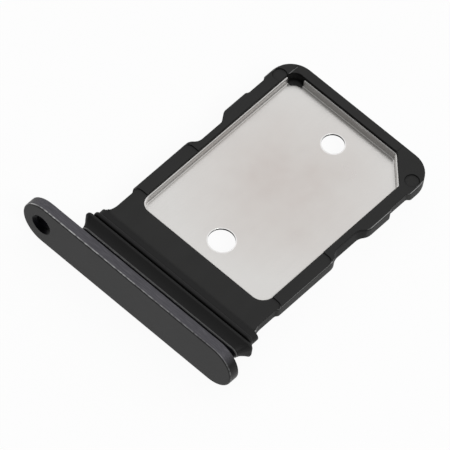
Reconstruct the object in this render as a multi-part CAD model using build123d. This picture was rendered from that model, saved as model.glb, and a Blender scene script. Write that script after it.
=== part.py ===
"""Card tray of a phone, for one nano-size card.

Four pieces: an anodised face plate with the eject hole and a rear tang, a double-lip seal round
the tang, a moulded carrier frame with detent rails, and a drawn steel pan that holds the card.

Millimetres.  +Y is the way the tray slides in, +Z is up and X runs along the face plate.  The
origin lies under the middle of the whole tray, level with the lowest edge of the face plate.
"""
import os

from build123d import *

# Card, as the standard gives it, and its room in the pan
card_length = 12.3
card_width = 8.8
card_clearance = 0.16

# Drawn steel pan
sheet = 0.12
pan_bend_radius = 0.07
pan_rim_drop = 0.1
pan_rim_round = 0.09
pan_corner_radius = 0.8
key_chamfer = 1.59
key_edge_radius = 0.3
relief_width = 0.88
relief_length = 0.59
relief_margin = 0.31
relief_radius = 0.58
relief_corner_radius = 0.65
near_hole_diameter = 1.57
near_hole_inset = 1.81
far_hole_diameter = 1.34
far_hole_inset = 1.83

# Face plate
plate_length = 15.5
plate_height = 3.0
plate_thickness = 0.67
plate_front_round = 0.1
plate_rear_chamfer = 0.03
eject_hole_inset = 1.38
eject_hole_diameter = 0.95
eject_sink_diameter = 1.36
eject_sink_angle = 90

# Neck, collar and tang behind the face plate
tray_offset = 1.17
neck_width = 11.46
neck_height = 0.66
neck_length = 0.7
collar_width = 11.56
collar_height = 0.76
collar_length = 0.1
collar_chamfer = 0.03
tang_width = 9.4
tang_thickness = 0.34
tang_cover = 0.7

# Seal
seal_core_width = 11.2
seal_core_height = 0.6
seal_corner_radius = 0.34
lip_width = 12.34
lip_height = 1.18
flare_length = 0.64
flare_curve = 1.5
rim_length = 0.19
rim_round = 0.12
second_lip_width = 11.66
second_lip_height = 0.72
second_lip_length = 0.8
second_lip_round = 0.1
groove_width = 0.06
ridge_width = 11.74
ridge_height = 1.2
ridge_length = 0.27
ridge_round = 0.1

# Carrier frame
frame_thickness = 0.78
deck_length = 1.64
rail_width = 0.81
far_bar_width = 0.58
pad_step = 0.13
pad_ramp = 0.34
shoulder_overhang = 0.24
shoulder_length = 0.7
near_pad_start = 0.19
notch_depth = 0.42
notch_foot_depth = 0.31
notch_length = 3.4
notch_ramp = 0.95
far_pad_length = 1.46
rest_depth = 0.13
rest_foot_depth = 0.19
rest_length = 1.78
rest_foot_overrun = 0.15
rest_ramp = 0.36
tip_length = 2.1
tip_radius = 1.5
edge_round = 0.05
level_step = 0.045
level_round = 0.4
deck_reach = 0.75
pad_overrun = 0.22
bar_drop = 0.025
ejector_mark_diameter = 0.86
ejector_mark_depth = 0.05
ejector_mark_side = 0.52
ejector_mark_inset = 1.45

# Derived sizes: the pan fills the frame's opening, and the frame ends one bar past it
opening_width = card_width + 2 * (card_clearance + sheet)
opening_length = card_length + 2 * (card_clearance + sheet)
frame_length = deck_length + opening_length + far_bar_width
lip_length = flare_length + rim_length
seal_length = lip_length + second_lip_length
tray_length = neck_length + collar_length + seal_length + frame_length
overall_length = plate_thickness + tray_length

# Stations along Y and Z
y_front = -overall_length / 2
y_rear = y_front + plate_thickness
y_collar = y_rear + neck_length
y_seal = y_collar + collar_length
y_deck = y_seal + seal_length
y_pocket = y_deck + deck_length
z_mid = plate_height / 2
z_bottom = z_mid - frame_thickness / 2
z_top = z_mid + frame_thickness / 2
deck_drop = 2 * level_step
pan_height = frame_thickness - deck_drop - pan_rim_drop

# Half widths of the frame, from its centre line
opening_half = opening_width / 2
pad_half = opening_half + rail_width
waist_half = pad_half - pad_step

# Stations along the rails, from the near edge of the opening
tip = opening_length + far_bar_width
rest_end = tip - tip_length
rest_start = rest_end - rest_length
notch_end = rest_start - far_pad_length
notch_start = notch_end - notch_length

# Room left on cutting shapes that reach past the solid they cut
beyond = 1.0


def section(y, x=tray_offset):
    """Plane across the tray at y, facing the way the tray slides in."""
    return Plane((x, y, z_mid), x_dir=(1, 0, 0), z_dir=(0, 1, 0))


def level(z):
    """Plane at height z, with its origin on the tray's centre line at the opening's near edge."""
    return Plane((tray_offset, y_pocket, z))


def prism(plan, z, height):
    """Solid on a plan, from height z up, or down for a negative height."""
    return extrude(level(z) * plan, height)


def pair(solid):
    """A solid and its mirror image across the tray's centre line."""
    return solid + mirror(solid, about=Plane.YZ.offset(tray_offset))


def obround(y, width, height, length, x=tray_offset):
    """Bar with round ends, from y on along +Y."""
    with BuildPart() as bar:
        with BuildSketch(section(y, x)):
            SlotOverall(width, height)
        extrude(amount=length)
    return bar.part


def tang():
    """Flat tongue of the face plate that the seal and the frame are moulded round."""
    length = seal_length + deck_length - tang_cover
    return extrude(section(y_seal) * Rectangle(tang_width, tang_thickness), length)


def make_face_plate():
    with BuildPart() as plate:
        add(obround(y_front, plate_length, plate_height, plate_thickness, x=0))
        fillet(plate.faces().sort_by(Axis.Y)[0].edges(), plate_front_round)
        chamfer(plate.faces().sort_by(Axis.Y)[-1].edges(), plate_rear_chamfer)
        hole_x = eject_hole_inset - plate_length / 2
        with Locations(Plane((hole_x, y_front, z_mid), x_dir=(1, 0, 0), z_dir=(0, -1, 0))):
            CounterSinkHole(
                eject_hole_diameter / 2,
                eject_sink_diameter / 2,
                depth=plate_thickness,
                counter_sink_angle=eject_sink_angle,
            )
        add(obround(y_rear, neck_width, neck_height, neck_length))
    with BuildPart() as collar:
        add(obround(y_collar, collar_width, collar_height, collar_length))
        chamfer(collar.faces().sort_by(Axis.Y)[0].edges(), collar_chamfer)
    return plate.part + collar.part + tang()


def flare():
    """Bell-mouthed front of the seal, from the collar's outline out to the lip."""
    with BuildPart() as bell:
        for share in (0, 1 / 3, 2 / 3, 1):
            rise = share ** flare_curve
            width = collar_width + rise * (lip_width - collar_width)
            height = collar_height + rise * (lip_height - collar_height)
            with BuildSketch(section(y_seal + share * flare_length)):
                RectangleRounded(width, height, seal_corner_radius)
        loft()
    return bell.part


def seal_band(y, width, height, length):
    """Bar with the seal's rounded corners, from y on along +Y."""
    return extrude(section(y) * RectangleRounded(width, height, seal_corner_radius), length)


def rim():
    """Round edge of the lip."""
    edge = seal_band(y_seal + flare_length, lip_width, lip_height, rim_length)
    return fillet(edge.faces().sort_by(Axis.Y)[-1].edges(), rim_round)


def second_lip():
    """Lower ring behind the lip, flush against the frame."""
    ring = seal_band(y_seal + lip_length, second_lip_width, second_lip_height, second_lip_length)
    return fillet(ring.faces().sort_by(Axis.Y)[0].edges(), second_lip_round)


def ridge():
    """Ridge on the second lip, one narrow groove behind the first."""
    ring = seal_band(y_seal + lip_length + groove_width, ridge_width, ridge_height, ridge_length)
    ends = ring.faces().sort_by(Axis.Y)[0].edges() + ring.faces().sort_by(Axis.Y)[-1].edges()
    return fillet(ends, ridge_round)


def make_seal_ring():
    core = obround(y_seal, seal_core_width, seal_core_height, seal_length)
    return core + flare() + rim() + second_lip() + ridge() - tang()


def s_ramp(start, end):
    """Two tangent arcs that ease a rail's side from one width to another."""
    first = TangentArc(start, (Vector(*start) + Vector(*end)) / 2, tangent=(0, 1))
    TangentArc(first @ 1, end, tangent=first % 1)


def frame_outline():
    """Plan of the frame: shoulders, waist, rails and round tip, mirrored about the centre."""
    shoulder = waist_half + shoulder_overhang
    with BuildSketch() as plan:
        with BuildLine():
            Line((0, -deck_length), (shoulder, -deck_length))
            waist_start = (waist_half, shoulder_length - deck_length)
            TangentArc(waist_start, (shoulder, -deck_length), tangent=(0, -1))
            Line(waist_start, (waist_half, near_pad_start))
            s_ramp((waist_half, near_pad_start), (pad_half, near_pad_start + pad_ramp))
            Line((pad_half, near_pad_start + pad_ramp), (pad_half, tip - tip_radius))
            TangentArc((pad_half, tip - tip_radius), (pad_half - tip_radius, tip), tangent=(0, 1))
            Line((pad_half - tip_radius, tip), (0, tip))
            mirror(about=Plane.YZ)
        make_face()
    return plan.sketch


def opening_outline(inset=0.0):
    """Plan of the card opening, with its key chamfer, drawn in by an inset."""
    half, near, far = opening_half - inset, inset, opening_length - inset
    leg = key_chamfer - inset * (2 - 2 ** 0.5)
    with BuildSketch() as plan:
        with BuildLine():
            Polyline(
                (-half, near),
                (half, near),
                (half, far - leg),
                (half - leg, far),
                (-half, far),
                close=True,
            )
        make_face()
        fillet(plan.vertices().group_by(Axis.Y)[0], pan_corner_radius - inset)
        relief_corner = plan.vertices().sort_by_distance((-half, far))[:1]
        fillet(relief_corner, relief_corner_radius - inset)
        key_corners = plan.vertices().sort_by_distance((half, far))[:2]
        fillet(key_corners, key_edge_radius - inset)
    return plan.sketch


def side_recess(start, end, depth, ramp):
    """Plan of a hollow in a rail's side, open towards +X, with eased ends."""
    floor = pad_half - depth
    with BuildSketch() as plan:
        with BuildLine():
            s_ramp((pad_half, start), (floor, start + ramp))
            Line((floor, start + ramp), (floor, end - ramp))
            s_ramp((floor, end - ramp), (pad_half, end))
            outside = pad_half + beyond
            Polyline((pad_half, end), (outside, end), (outside, start), (pad_half, start))
        make_face()
    return plan.sketch


def side_cut(top_plan, foot_plan):
    """Hollow in both rails that changes from its top plan to its foot plan."""
    hollow = loft([level(z_bottom) * foot_plan, level(z_top) * top_plan], ruled=True)
    return pair(hollow)


def relief_square():
    """Plan of the far corner where the pan's walls stop."""
    corner = Pos((relief_width - opening_width) / 2, opening_length - relief_length / 2)
    return corner * Rectangle(relief_width, relief_length)


def relief_outline():
    """Plan of that corner outside the floor's round corner."""
    floor_corner = Pos(relief_width - opening_half, opening_length - relief_margin - relief_radius)
    return (relief_square() - floor_corner * Circle(relief_radius)) & opening_outline()


def lowered_area(half, reach):
    """Plan of a lowered top face from the deck on, with round far corners."""
    length = reach + deck_length + beyond
    middle = reach - length / 2
    return Pos(0, middle) * RectangleRounded(2 * half, length, level_round)


def make_carrier_frame():
    frame = prism(frame_outline(), z_bottom, frame_thickness)
    for face in (frame.faces().sort_by(Axis.Z)[0], frame.faces().sort_by(Axis.Z)[-1]):
        frame = fillet(face.outer_wire().edges(), edge_round)
    frame -= side_cut(
        side_recess(notch_start, notch_end, notch_depth, notch_ramp),
        side_recess(notch_start, notch_end, notch_foot_depth, notch_ramp),
    )
    frame -= side_cut(
        side_recess(rest_start, rest_end, rest_depth, rest_ramp),
        side_recess(rest_start, rest_end + rest_foot_overrun, rest_foot_depth, rest_ramp),
    )
    frame -= prism(lowered_area(pad_half, notch_start + pad_overrun), z_top, -level_step)
    frame -= prism(lowered_area(pad_half, deck_reach), z_top, -deck_drop)
    bar = Rectangle(opening_width - key_chamfer, far_bar_width)
    frame -= prism(Pos(-key_chamfer / 2, tip - far_bar_width / 2) * bar, z_top, -bar_drop)
    mark = Circle(ejector_mark_diameter / 2)
    mark_place = Pos(pad_half - ejector_mark_side, tip - ejector_mark_inset)
    frame -= pair(prism(mark_place * mark, z_top, -ejector_mark_depth))
    frame -= prism(opening_outline(), z_bottom, frame_thickness)
    frame += prism(relief_outline(), z_bottom, sheet)
    return frame - tang()


def make_card_pan():
    pan = prism(opening_outline(), z_bottom, pan_height)
    pan -= prism(opening_outline(inset=sheet), z_bottom + sheet, pan_height)
    floor_face = pan.faces().filter_by(Plane.XY).group_by(Axis.Z)[1]
    pan = fillet(floor_face.edges(), pan_bend_radius)
    rim_face = pan.faces().filter_by(Plane.XY).group_by(Axis.Z)[-1].face()
    pan = fillet(rim_face.inner_wires().edges(), pan_rim_round)
    near_hole = Pos(0, near_hole_inset) * Circle(near_hole_diameter / 2)
    far_hole = Pos(0, opening_length - far_hole_inset) * Circle(far_hole_diameter / 2)
    for hole in (near_hole, far_hole):
        pan -= prism(hole, z_bottom, pan_height)
    pan -= prism(relief_outline(), z_bottom, pan_height)
    pan -= prism(relief_square(), z_bottom + sheet, pan_height)
    return pan


pieces = {
    "face_plate": make_face_plate(),
    "seal_ring": make_seal_ring(),
    "carrier_frame": make_carrier_frame(),
    "card_pan": make_card_pan(),
}
os.makedirs("parts", exist_ok=True)
for name, piece in pieces.items():
    export_step(piece, f"parts/{name}.step")
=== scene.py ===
"""Looks of the card tray: the finishes of its four pieces, a plain studio and the camera."""
import math

import bpy
from mathutils import Matrix, Vector

MM = 0.001

# Camera, fitted to the card pocket in the photograph (450 x 450 pixels)
PHOTO_SIZE = 450
CAMERA_AZIMUTH = 34.67
CAMERA_ELEVATION = 56.06
CAMERA_ROLL = 9.33
CAMERA_DISTANCE = 384.6 * MM
CAMERA_TARGET = Vector((0.844, -1.999, 1.845)) * MM
FOCAL_PIXELS = 6987
SENSOR_WIDTH = 36

# Studio
FLOOR_RADIUS = 4.0
FLOOR_COLOUR = (0.86, 0.86, 0.86, 1)
FLOOR_GLOW_SHARE = 0.93
FLOOR_SIDES = 96
FLOOR_DROP = 0.01 * MM
BRIGHT_SIDE = (-0.4, 0.9, 0.0)
BRIGHT_FROM = 0.42
DIM_SIDE_LEVEL = 0.28
KEY_DIRECTION = (0.6, -0.15, 0.78)
KEY_DISTANCE = 0.6
KEY_SIZE = 0.3
KEY_RADIANCE = 5.6

# Places on the tray that a finish, a painted highlight or a painted shade depends on
EJECT_HOLE_X = -6.37 * MM
MID_HEIGHT = 1.5 * MM
EJECT_SINK_RADIUS = 0.69 * MM
FRONT_FACE_LEAN = -0.95
# where the painted highlight on the front round lies, and where it is bright and faint along X
FRONT_CREST_LEAN = -0.42
FRONT_EDGE_BRIGHT_X, FRONT_EDGE_FAINT_X = -4 * MM, 6.5 * MM
NECK_START, NECK_END = -8.39 * MM, -7.73 * MM
COLLAR_END = -7.62 * MM
FLOOR_HEIGHT = 1.23 * MM
# height above which the frame's upright faces get painted shade and its edges the painted highlight
UPPER_FLANK_HEIGHT = 1.7 * MM
TRAY_X = 1.17 * MM
PAD_REACH = 5.38 * MM
KNIT_LINE_X = -3.475 * MM
KNIT_LINE_START, KNIT_LINE_END = 7.75 * MM, 8.75 * MM
PAN_CENTRE = Vector((1.17, 2.6, 1.23)) * MM
PAN_HOLES = (
    (Vector((1.17, -2.54, 1.17)) * MM, 0.785 * MM),
    (Vector((1.17, 6.68, 1.17)) * MM, 0.67 * MM),
)


def node(tree, kind, inputs=None, **settings):
    """A shader node with its settings; each input takes a value or another node's output."""
    made = tree.nodes.new("ShaderNode" + kind)
    for name, value in settings.items():
        setattr(made, name, value)
    for key, value in (inputs or {}).items():
        feed(tree, made.inputs[key], value)
    return made


def feed(tree, socket, value):
    """Sets a socket to a value, or links another node's output to it."""
    if isinstance(value, bpy.types.NodeSocket):
        tree.links.new(value, socket)
    else:
        socket.default_value = value


def noise(tree, feature, stretch=(1, 1, 1), detail=3.0):
    """Noise from 0 to 1 whose features are about so many metres across, drawn out by a stretch."""
    place = node(tree, "TexCoord").outputs["Object"]
    scale = [1 / (feature * s) for s in stretch]
    sized = node(tree, "Mapping", {"Vector": place, "Scale": scale})
    field = node(tree, "TexNoise", {"Vector": sized.outputs[0], "Scale": 1, "Detail": detail})
    return field.outputs["Fac"]


def between(tree, value, low, high, start=0.0, end=1.0):
    """Maps the range from start to end onto low to high, held at its ends."""
    inputs = {"Value": value, "From Min": start, "From Max": end, "To Min": low, "To Max": high}
    return node(tree, "MapRange", inputs).outputs["Result"]


def maths(tree, operation, first, second):
    """One operation on two numbers."""
    return node(tree, "Math", {0: first, 1: second}, operation=operation).outputs[0]


def blend(tree, factor, first, second, blend_type="MIX"):
    """Mixes two colours."""
    mix = node(tree, "Mix", data_type="RGBA", blend_type=blend_type)
    feed(tree, mix.inputs[0], factor)
    feed(tree, mix.inputs[6], first)
    feed(tree, mix.inputs[7], second)
    return mix.outputs[2]


def rounded(tree, radius):
    """Shading normal that eases every sharp edge."""
    return node(tree, "Bevel", {"Radius": radius}, samples=6).outputs[0]


def edge_mask(tree, radius, strength):
    """1 on edges and 0 on flats, from how far the eased normal turns from the true one."""
    eased = rounded(tree, radius)
    true = node(tree, "NewGeometry").outputs["Normal"]
    turn = node(tree, "VectorMath", {0: eased, 1: true}, operation="DOT_PRODUCT").outputs["Value"]
    return between(tree, turn, 1.0, 0.0, 1 - strength, 1.0)


def bump(tree, height, distance, strength, normal):
    """Bumps of a height in metres on top of a normal."""
    inputs = {"Height": height, "Distance": distance, "Strength": strength, "Normal": normal}
    return node(tree, "Bump", inputs).outputs[0]


def crevice(tree, distance, darkest, closed=0.25, clear=0.9):
    """Share of light kept in corners, from darkest up to 1."""
    open_share = node(tree, "AmbientOcclusion", {"Distance": distance}, samples=8).outputs["AO"]
    return between(tree, open_share, darkest, 1.0, closed, clear)


def material(name):
    """A new material, its node tree and its surface shader."""
    made = bpy.data.materials.new(name)
    made.use_nodes = True
    return made, made.node_tree, made.node_tree.nodes["Principled BSDF"]


def finish_with(surface, tree, **inputs):
    """Sets the inputs of a surface shader; an underscore in a name stands for a space."""
    for name, value in inputs.items():
        feed(tree, surface.inputs[name.replace("_", " ")], value)


def place_of(tree):
    """X, Y and Z of a point of the tray, in metres."""
    return node(tree, "SeparateXYZ", {0: node(tree, "TexCoord").outputs["Object"]}).outputs


def normal_of(tree):
    """X, Y and Z of the true surface normal."""
    return node(tree, "SeparateXYZ", {0: node(tree, "NewGeometry").outputs["Normal"]}).outputs


def band(tree, value, middle, half_width, fade):
    """1 within a half width of the middle, fading to 0 beyond it."""
    off = maths(tree, "ABSOLUTE", maths(tree, "SUBTRACT", value, middle), 0)
    return between(tree, off, 1.0, 0.0, half_width, half_width + fade)


def span(tree, value, low, high, fade):
    """1 from low to high, fading to 0 beyond them."""
    return band(tree, value, (low + high) / 2, (high - low) / 2, fade)


def spot(tree, centre, radius, fade):
    """1 within a radius of a place on the tray, fading to 0 beyond it."""
    place = node(tree, "TexCoord").outputs["Object"]
    gap = node(tree, "VectorMath", {0: place, 1: centre}, operation="DISTANCE").outputs["Value"]
    return between(tree, gap, 1.0, 0.0, radius, radius + fade)


def inside_hole(tree):
    """1 on the wall and countersink of the eject hole, which the plate's finish paints black as shade."""
    place = place_of(tree)
    across = maths(tree, "SUBTRACT", place["X"], EJECT_HOLE_X)
    above = maths(tree, "SUBTRACT", place["Z"], MID_HEIGHT)
    squares = maths(tree, "ADD", maths(tree, "POWER", across, 2), maths(tree, "POWER", above, 2))
    reach = maths(tree, "SQRT", squares, 0)
    near = between(tree, reach, 1.0, 0.0, EJECT_SINK_RADIUS - 0.005 * MM, EJECT_SINK_RADIUS)
    turned = maths(tree, "GREATER_THAN", normal_of(tree)["Y"], FRONT_FACE_LEAN)
    return maths(tree, "MULTIPLY", near, turned)


def painted_crest_highlight(tree):
    """Painted highlight: 1 on the crest of the plate's front round, in dots that grow fainter towards its
    right end.
    """
    crest = band(tree, normal_of(tree)["Y"], FRONT_CREST_LEAN, 0.2, 0.15)
    dots = between(tree, noise(tree, 0.25 * MM, detail=2), 0.3, 1.0, 0.38, 0.58)
    fading = between(tree, place_of(tree)["X"], 1.0, 0.25, FRONT_EDGE_BRIGHT_X, FRONT_EDGE_FAINT_X)
    return maths(tree, "MULTIPLY", maths(tree, "MULTIPLY", crest, dots), fading)


def anodised_plate():
    """Fine-blasted dark grey anodising, with painted light and shade: a painted highlight along the front
    edge, top faces coloured lighter than front faces, and the neck and eject hole painted black as shade.
    """
    made, tree, surface = material("anodised_plate")
    grain = noise(tree, 0.05 * MM, detail=2)
    clouds = noise(tree, 1.6 * MM)
    drawn = noise(tree, 0.05 * MM, stretch=(16, 1, 1), detail=2)
    along = place_of(tree)["Y"]
    facing_up = between(tree, normal_of(tree)["Z"], 0.0, 1.0, 0.6, 0.9)
    # painted light and shade: front faces get a darker colour and top faces a lighter one
    front = blend(tree, clouds, (0.011, 0.011, 0.011, 1), (0.017, 0.017, 0.0173, 1))
    top = blend(tree, clouds, (0.065, 0.063, 0.072, 1), (0.08, 0.078, 0.088, 1))
    body = blend(tree, facing_up, front, top)
    lines = maths(tree, "MULTIPLY", facing_up, between(tree, drawn, 0.0, 0.4, 0.45, 0.7))
    streaked = blend(tree, lines, body, (0.16, 0.155, 0.17, 1))
    speckled = blend(tree, between(tree, grain, 0.0, 0.2, 0.5, 0.9), streaked, (0.06, 0.06, 0.062, 1))
    # painted highlight: a pale, less metallic dotted line on the crest of the front round
    edge = painted_crest_highlight(tree)
    collar = span(tree, along, NECK_END, COLLAR_END, 0.01 * MM)
    collared = blend(tree, collar, speckled, (0.085, 0.085, 0.085, 1))
    edged = blend(tree, edge, collared, (0.5, 0.5, 0.5, 1))
    # painted shade: the neck in the gap behind the plate and the eject hole's wall are coloured black and
    # fully metallic, so they reflect almost nothing
    neck = span(tree, along, NECK_START, NECK_END, 0.01 * MM)
    black = maths(tree, "MAXIMUM", neck, inside_hole(tree))
    colour = blend(tree, black, edged, (0.003, 0.003, 0.004, 1))
    shade = crevice(tree, 0.25 * MM, 0.6)
    finish_with(
        surface,
        tree,
        Base_Color=blend(tree, 1.0, colour, shade, "MULTIPLY"),
        Metallic=maths(tree, "MAXIMUM", between(tree, edge, 0.5, 0.0), black),
        Specular_IOR_Level=0.24,
        Roughness=between(tree, grain, 0.36, 0.52),
        Normal=bump(tree, grain, 0.004 * MM, 0.3, rounded(tree, 0.03 * MM)),
    )
    return made


def seal_rubber():
    """Smooth black moulded rubber with faint handling marks."""
    made, tree, surface = material("seal_rubber")
    skin = noise(tree, 0.12 * MM)
    marks = noise(tree, 0.9 * MM, stretch=(2.5, 0.6, 0.6))
    body = blend(tree, marks, (0.005, 0.005, 0.005, 1), (0.009, 0.009, 0.0092, 1))
    shade = crevice(tree, 0.3 * MM, 0.35)
    finish_with(
        surface,
        tree,
        Base_Color=blend(tree, 1.0, body, shade, "MULTIPLY"),
        Roughness=between(tree, marks, 0.5, 0.66),
        Specular_IOR_Level=0.25,
        Normal=bump(tree, skin, 0.006 * MM, 0.3, rounded(tree, 0.04 * MM)),
    )
    return made


def pad_sides(tree):
    """1 along the outermost sides of the rails, where the painted edge highlight goes, and 0 within their
    hollows.
    """
    return maths(tree, "SUBTRACT", 1.0, band(tree, place_of(tree)["X"], TRAY_X, PAD_REACH, 0.03 * MM))


def eased_edge(tree):
    """1 on the frame's upper edges, sharp or eased."""
    turning = band(tree, normal_of(tree)["Z"], 0.7, 0.2, 0.1)
    high = between(tree, place_of(tree)["Z"], 0.0, 1.0, UPPER_FLANK_HEIGHT, UPPER_FLANK_HEIGHT + 0.1 * MM)
    return maths(tree, "MAXIMUM", edge_mask(tree, 0.06 * MM, 0.25), maths(tree, "MULTIPLY", turning, high))


def painted_side_shade(tree, pads):
    """Painted shade on the frame's upright faces: most above the upper flank height, less in the hollows.
    """
    upright = band(tree, normal_of(tree)["Z"], 0.0, 0.3, 0.2)
    above = between(tree, place_of(tree)["Z"], 0.0, 0.75, UPPER_FLANK_HEIGHT, UPPER_FLANK_HEIGHT + 0.03 * MM)
    hollow = between(tree, pads, 0.45, 0.0)
    return maths(tree, "MULTIPLY", upright, maths(tree, "MAXIMUM", above, hollow))


def knit_line(tree):
    """1 on the pale line at the far left corner where the plastic flowed together."""
    place = place_of(tree)
    line = band(tree, place["X"], KNIT_LINE_X, 0.012 * MM, 0.018 * MM)
    length = span(tree, place["Y"], KNIT_LINE_START, KNIT_LINE_END, 0.05 * MM)
    flat = between(tree, normal_of(tree)["Z"], 0.0, 1.0, 0.7, 0.9)
    return maths(tree, "MULTIPLY", maths(tree, "MULTIPLY", line, length), flat)


def frame_plastic():
    """Fine-textured black plastic, with a painted highlight on its outermost edges and painted shade on its
    flanks and inner edges.
    """
    made, tree, surface = material("frame_plastic")
    texture = noise(tree, 0.06 * MM, detail=2)
    flow = noise(tree, 1.1 * MM, stretch=(1, 2.5, 1))
    body = blend(tree, flow, (0.019, 0.019, 0.0187, 1), (0.026, 0.026, 0.0256, 1))
    edges, pads = eased_edge(tree), pad_sides(tree)
    # painted shade: inner edges in the hollows and the upright faces are darkened and made metallic, so
    # they reflect little
    painted_inner_edge_shade = maths(tree, "MULTIPLY", edges, between(tree, pads, 0.6, 0.0))
    dark = maths(tree, "MAXIMUM", painted_side_shade(tree, pads), painted_inner_edge_shade)
    darker = blend(tree, dark, body, (0.004, 0.004, 0.004, 1))
    # painted highlight on the outermost rail edges, joined with the real pale knit line
    painted_edge_highlight = maths(tree, "MULTIPLY", edges, pads)
    pale = maths(tree, "MAXIMUM", painted_edge_highlight, maths(tree, "MULTIPLY", knit_line(tree), 0.5))
    colour = blend(tree, pale, darker, (0.3, 0.3, 0.3, 1))
    shade = crevice(tree, 0.22 * MM, 0.15, closed=0.55, clear=0.97)
    finish_with(
        surface,
        tree,
        Base_Color=blend(tree, 1.0, colour, shade, "MULTIPLY"),
        Metallic=dark,
        Roughness=between(tree, texture, 0.52, 0.7),
        Specular_IOR_Level=0.18,
        Normal=bump(tree, texture, 0.006 * MM, 0.35, rounded(tree, 0.05 * MM)),
    )
    return made


def hole_edge(tree, centre, radius):
    """1 on the wall of a hole through the pan's floor, and 1 on the thin burr round it."""
    reach = spot(tree, centre, radius + 0.02 * MM, 0.01 * MM)
    wall = maths(tree, "MULTIPLY", reach, band(tree, normal_of(tree)["Z"], 0.0, 0.5, 0.2))
    burr = spot(tree, centre, radius + 0.05 * MM, 0.02 * MM)
    return wall, maths(tree, "SUBTRACT", burr, wall)


def pan_steel():
    """Satin rolled stainless sheet, faintly warm in the middle, with hole walls painted near black as a
    dark reflection, and pale burrs.
    """
    made, tree, surface = material("pan_steel")
    lines = noise(tree, 0.07 * MM, stretch=(1, 30, 6), detail=2)
    cloud = noise(tree, 2.2 * MM)
    haze = noise(tree, 0.8 * MM, stretch=(1, 2, 1))
    cast = maths(tree, "MULTIPLY", spot(tree, PAN_CENTRE, 2 * MM, 4.5 * MM), between(tree, cloud, 0.3, 1.3))
    body = blend(tree, cast, (0.705, 0.692, 0.675, 1), (0.615, 0.57, 0.545, 1))
    colour = blend(tree, between(tree, lines, 0.0, 0.2), body, (0.54, 0.53, 0.515, 1))
    height = place_of(tree)["Z"]
    upright = band(tree, normal_of(tree)["Z"], 0.0, 0.3, 0.4)
    for centre, radius in PAN_HOLES:
        wall, burr = hole_edge(tree, centre, radius)
        colour = blend(tree, burr, colour, (0.85, 0.84, 0.83, 1))
        # painted dark reflection: the hole wall is coloured near black
        colour = blend(tree, wall, colour, (0.012, 0.012, 0.012, 1))
    on_floor = between(tree, height, 1.0, 0.0, FLOOR_HEIGHT, FLOOR_HEIGHT + 0.1 * MM)
    shade = between(tree, on_floor, 1.0, crevice(tree, 0.3 * MM, 0.85))
    satin = between(tree, haze, 0.2, 0.3)
    finish_with(
        surface,
        tree,
        Base_Color=blend(tree, 1.0, colour, shade, "MULTIPLY"),
        Metallic=1.0,
        Roughness=maths(tree, "ADD", satin, maths(tree, "MULTIPLY", upright, 0.06)),
        Normal=bump(tree, lines, 0.002 * MM, 0.15, rounded(tree, 0.03 * MM)),
    )
    return made


def dress(frame):
    """Gives each node the finish of its material slot."""
    finishes = {
        "face_plate": anodised_plate(),
        "seal_ring": seal_rubber(),
        "carrier_frame": frame_plastic(),
        "card_pan": pan_steel(),
    }
    for name, finish in finishes.items():
        for place in frame["nodes"][name].material_slots:
            place.material = finish


def floor_finish():
    """Pale floor that shows white to the eye and in reflections, and keeps the tray's shadow."""
    made, tree, surface = material("studio_floor")
    finish_with(surface, tree, Base_Color=FLOOR_COLOUR, Roughness=0.9, Specular_IOR_Level=0.0)
    rays = node(tree, "LightPath").outputs
    seen = maths(tree, "MAXIMUM", rays["Is Camera Ray"], rays["Is Glossy Ray"])
    seen = maths(tree, "MAXIMUM", seen, rays["Is Transmission Ray"])
    share = maths(tree, "MULTIPLY", seen, FLOOR_GLOW_SHARE)
    glow = node(tree, "Emission", {"Color": (1, 1, 1, 1), "Strength": 1})
    mixed = node(tree, "MixShader", {0: share, 1: surface.outputs[0], 2: glow.outputs[0]})
    feed(tree, tree.nodes["Material Output"].inputs["Surface"], mixed.outputs[0])
    return made


def make_floor():
    """Round floor just below the tray."""
    below = (0, 0, -FLOOR_DROP)
    bpy.ops.mesh.primitive_circle_add(
        vertices=FLOOR_SIDES, radius=FLOOR_RADIUS, fill_type="NGON", location=below
    )
    floor = bpy.context.object
    floor.name = "studio_floor"
    floor.data.materials.append(floor_finish())


def softbox(name, direction, distance, width, height, radiance):
    """Area lamp that faces the tray, as bright as a surface of that radiance."""
    lamp = bpy.data.lights.new(name, "AREA")
    lamp.shape = "RECTANGLE"
    lamp.size, lamp.size_y = width, height
    lamp.energy = radiance * math.pi * width * height
    place = bpy.data.objects.new(name, lamp)
    back = Vector(direction).normalized()
    place.location = back * distance
    place.rotation_mode = "QUATERNION"
    place.rotation_quaternion = (-back).to_track_quat("-Z", "Y")
    bpy.context.scene.collection.objects.link(place)


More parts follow.
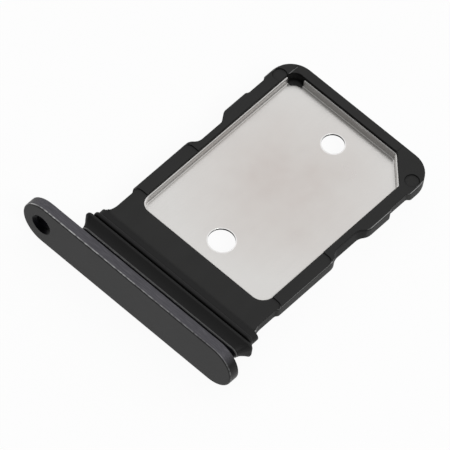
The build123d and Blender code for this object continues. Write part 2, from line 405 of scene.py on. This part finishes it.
def make_lights():
    """One softbox from the upper right, in a studio that is bright at the back and dim in front."""
    softbox("key_softbox", KEY_DIRECTION, KEY_DISTANCE, KEY_SIZE, KEY_SIZE, KEY_RADIANCE)
    world = bpy.data.worlds.new("studio")
    world.use_nodes = True
    tree = world.node_tree
    way = node(tree, "TexCoord").outputs["Generated"]
    inputs = {0: way, 1: BRIGHT_SIDE}
    share = node(tree, "VectorMath", inputs, operation="DOT_PRODUCT").outputs["Value"]
    inputs = {"Value": share, "From Max": BRIGHT_FROM, "To Min": DIM_SIDE_LEVEL}
    level = node(tree, "MapRange", inputs, interpolation_type="SMOOTHSTEP").outputs["Result"]
    finish = tree.nodes["Background"]
    feed(tree, finish.inputs["Color"], (1, 1, 1, 1))
    feed(tree, finish.inputs["Strength"], level)
    bpy.context.scene.world = world


def make_camera():
    """Camera that sees the tray as the photograph does."""
    a, e, r = (math.radians(v) for v in (CAMERA_AZIMUTH, CAMERA_ELEVATION, CAMERA_ROLL))
    back = Vector((math.sin(a) * math.cos(e), -math.cos(a) * math.cos(e), math.sin(e)))
    level = Vector((math.cos(a), math.sin(a), 0))
    right = level * math.cos(r) + back.cross(level) * math.sin(r)
    turn = Matrix((right, back.cross(right), back)).transposed().to_4x4()
    data = bpy.data.cameras.new("camera")
    data.sensor_width = SENSOR_WIDTH
    data.lens = FOCAL_PIXELS * SENSOR_WIDTH / PHOTO_SIZE
    data.clip_start, data.clip_end = 0.01, 20
    camera = bpy.data.objects.new("camera", data)
    camera.matrix_world = Matrix.Translation(CAMERA_TARGET + back * CAMERA_DISTANCE) @ turn
    bpy.context.scene.collection.objects.link(camera)
    bpy.context.scene.camera = camera


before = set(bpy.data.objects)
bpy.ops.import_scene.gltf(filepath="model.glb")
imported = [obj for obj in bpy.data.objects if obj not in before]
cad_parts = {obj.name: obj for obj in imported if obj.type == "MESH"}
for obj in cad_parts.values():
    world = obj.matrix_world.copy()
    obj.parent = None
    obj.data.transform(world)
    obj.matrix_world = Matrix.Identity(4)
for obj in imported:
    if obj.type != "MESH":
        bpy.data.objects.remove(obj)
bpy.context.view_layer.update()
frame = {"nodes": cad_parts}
dress(frame)
make_floor()
make_lights()
make_camera()
bpy.context.scene.view_settings.view_transform = "Standard"
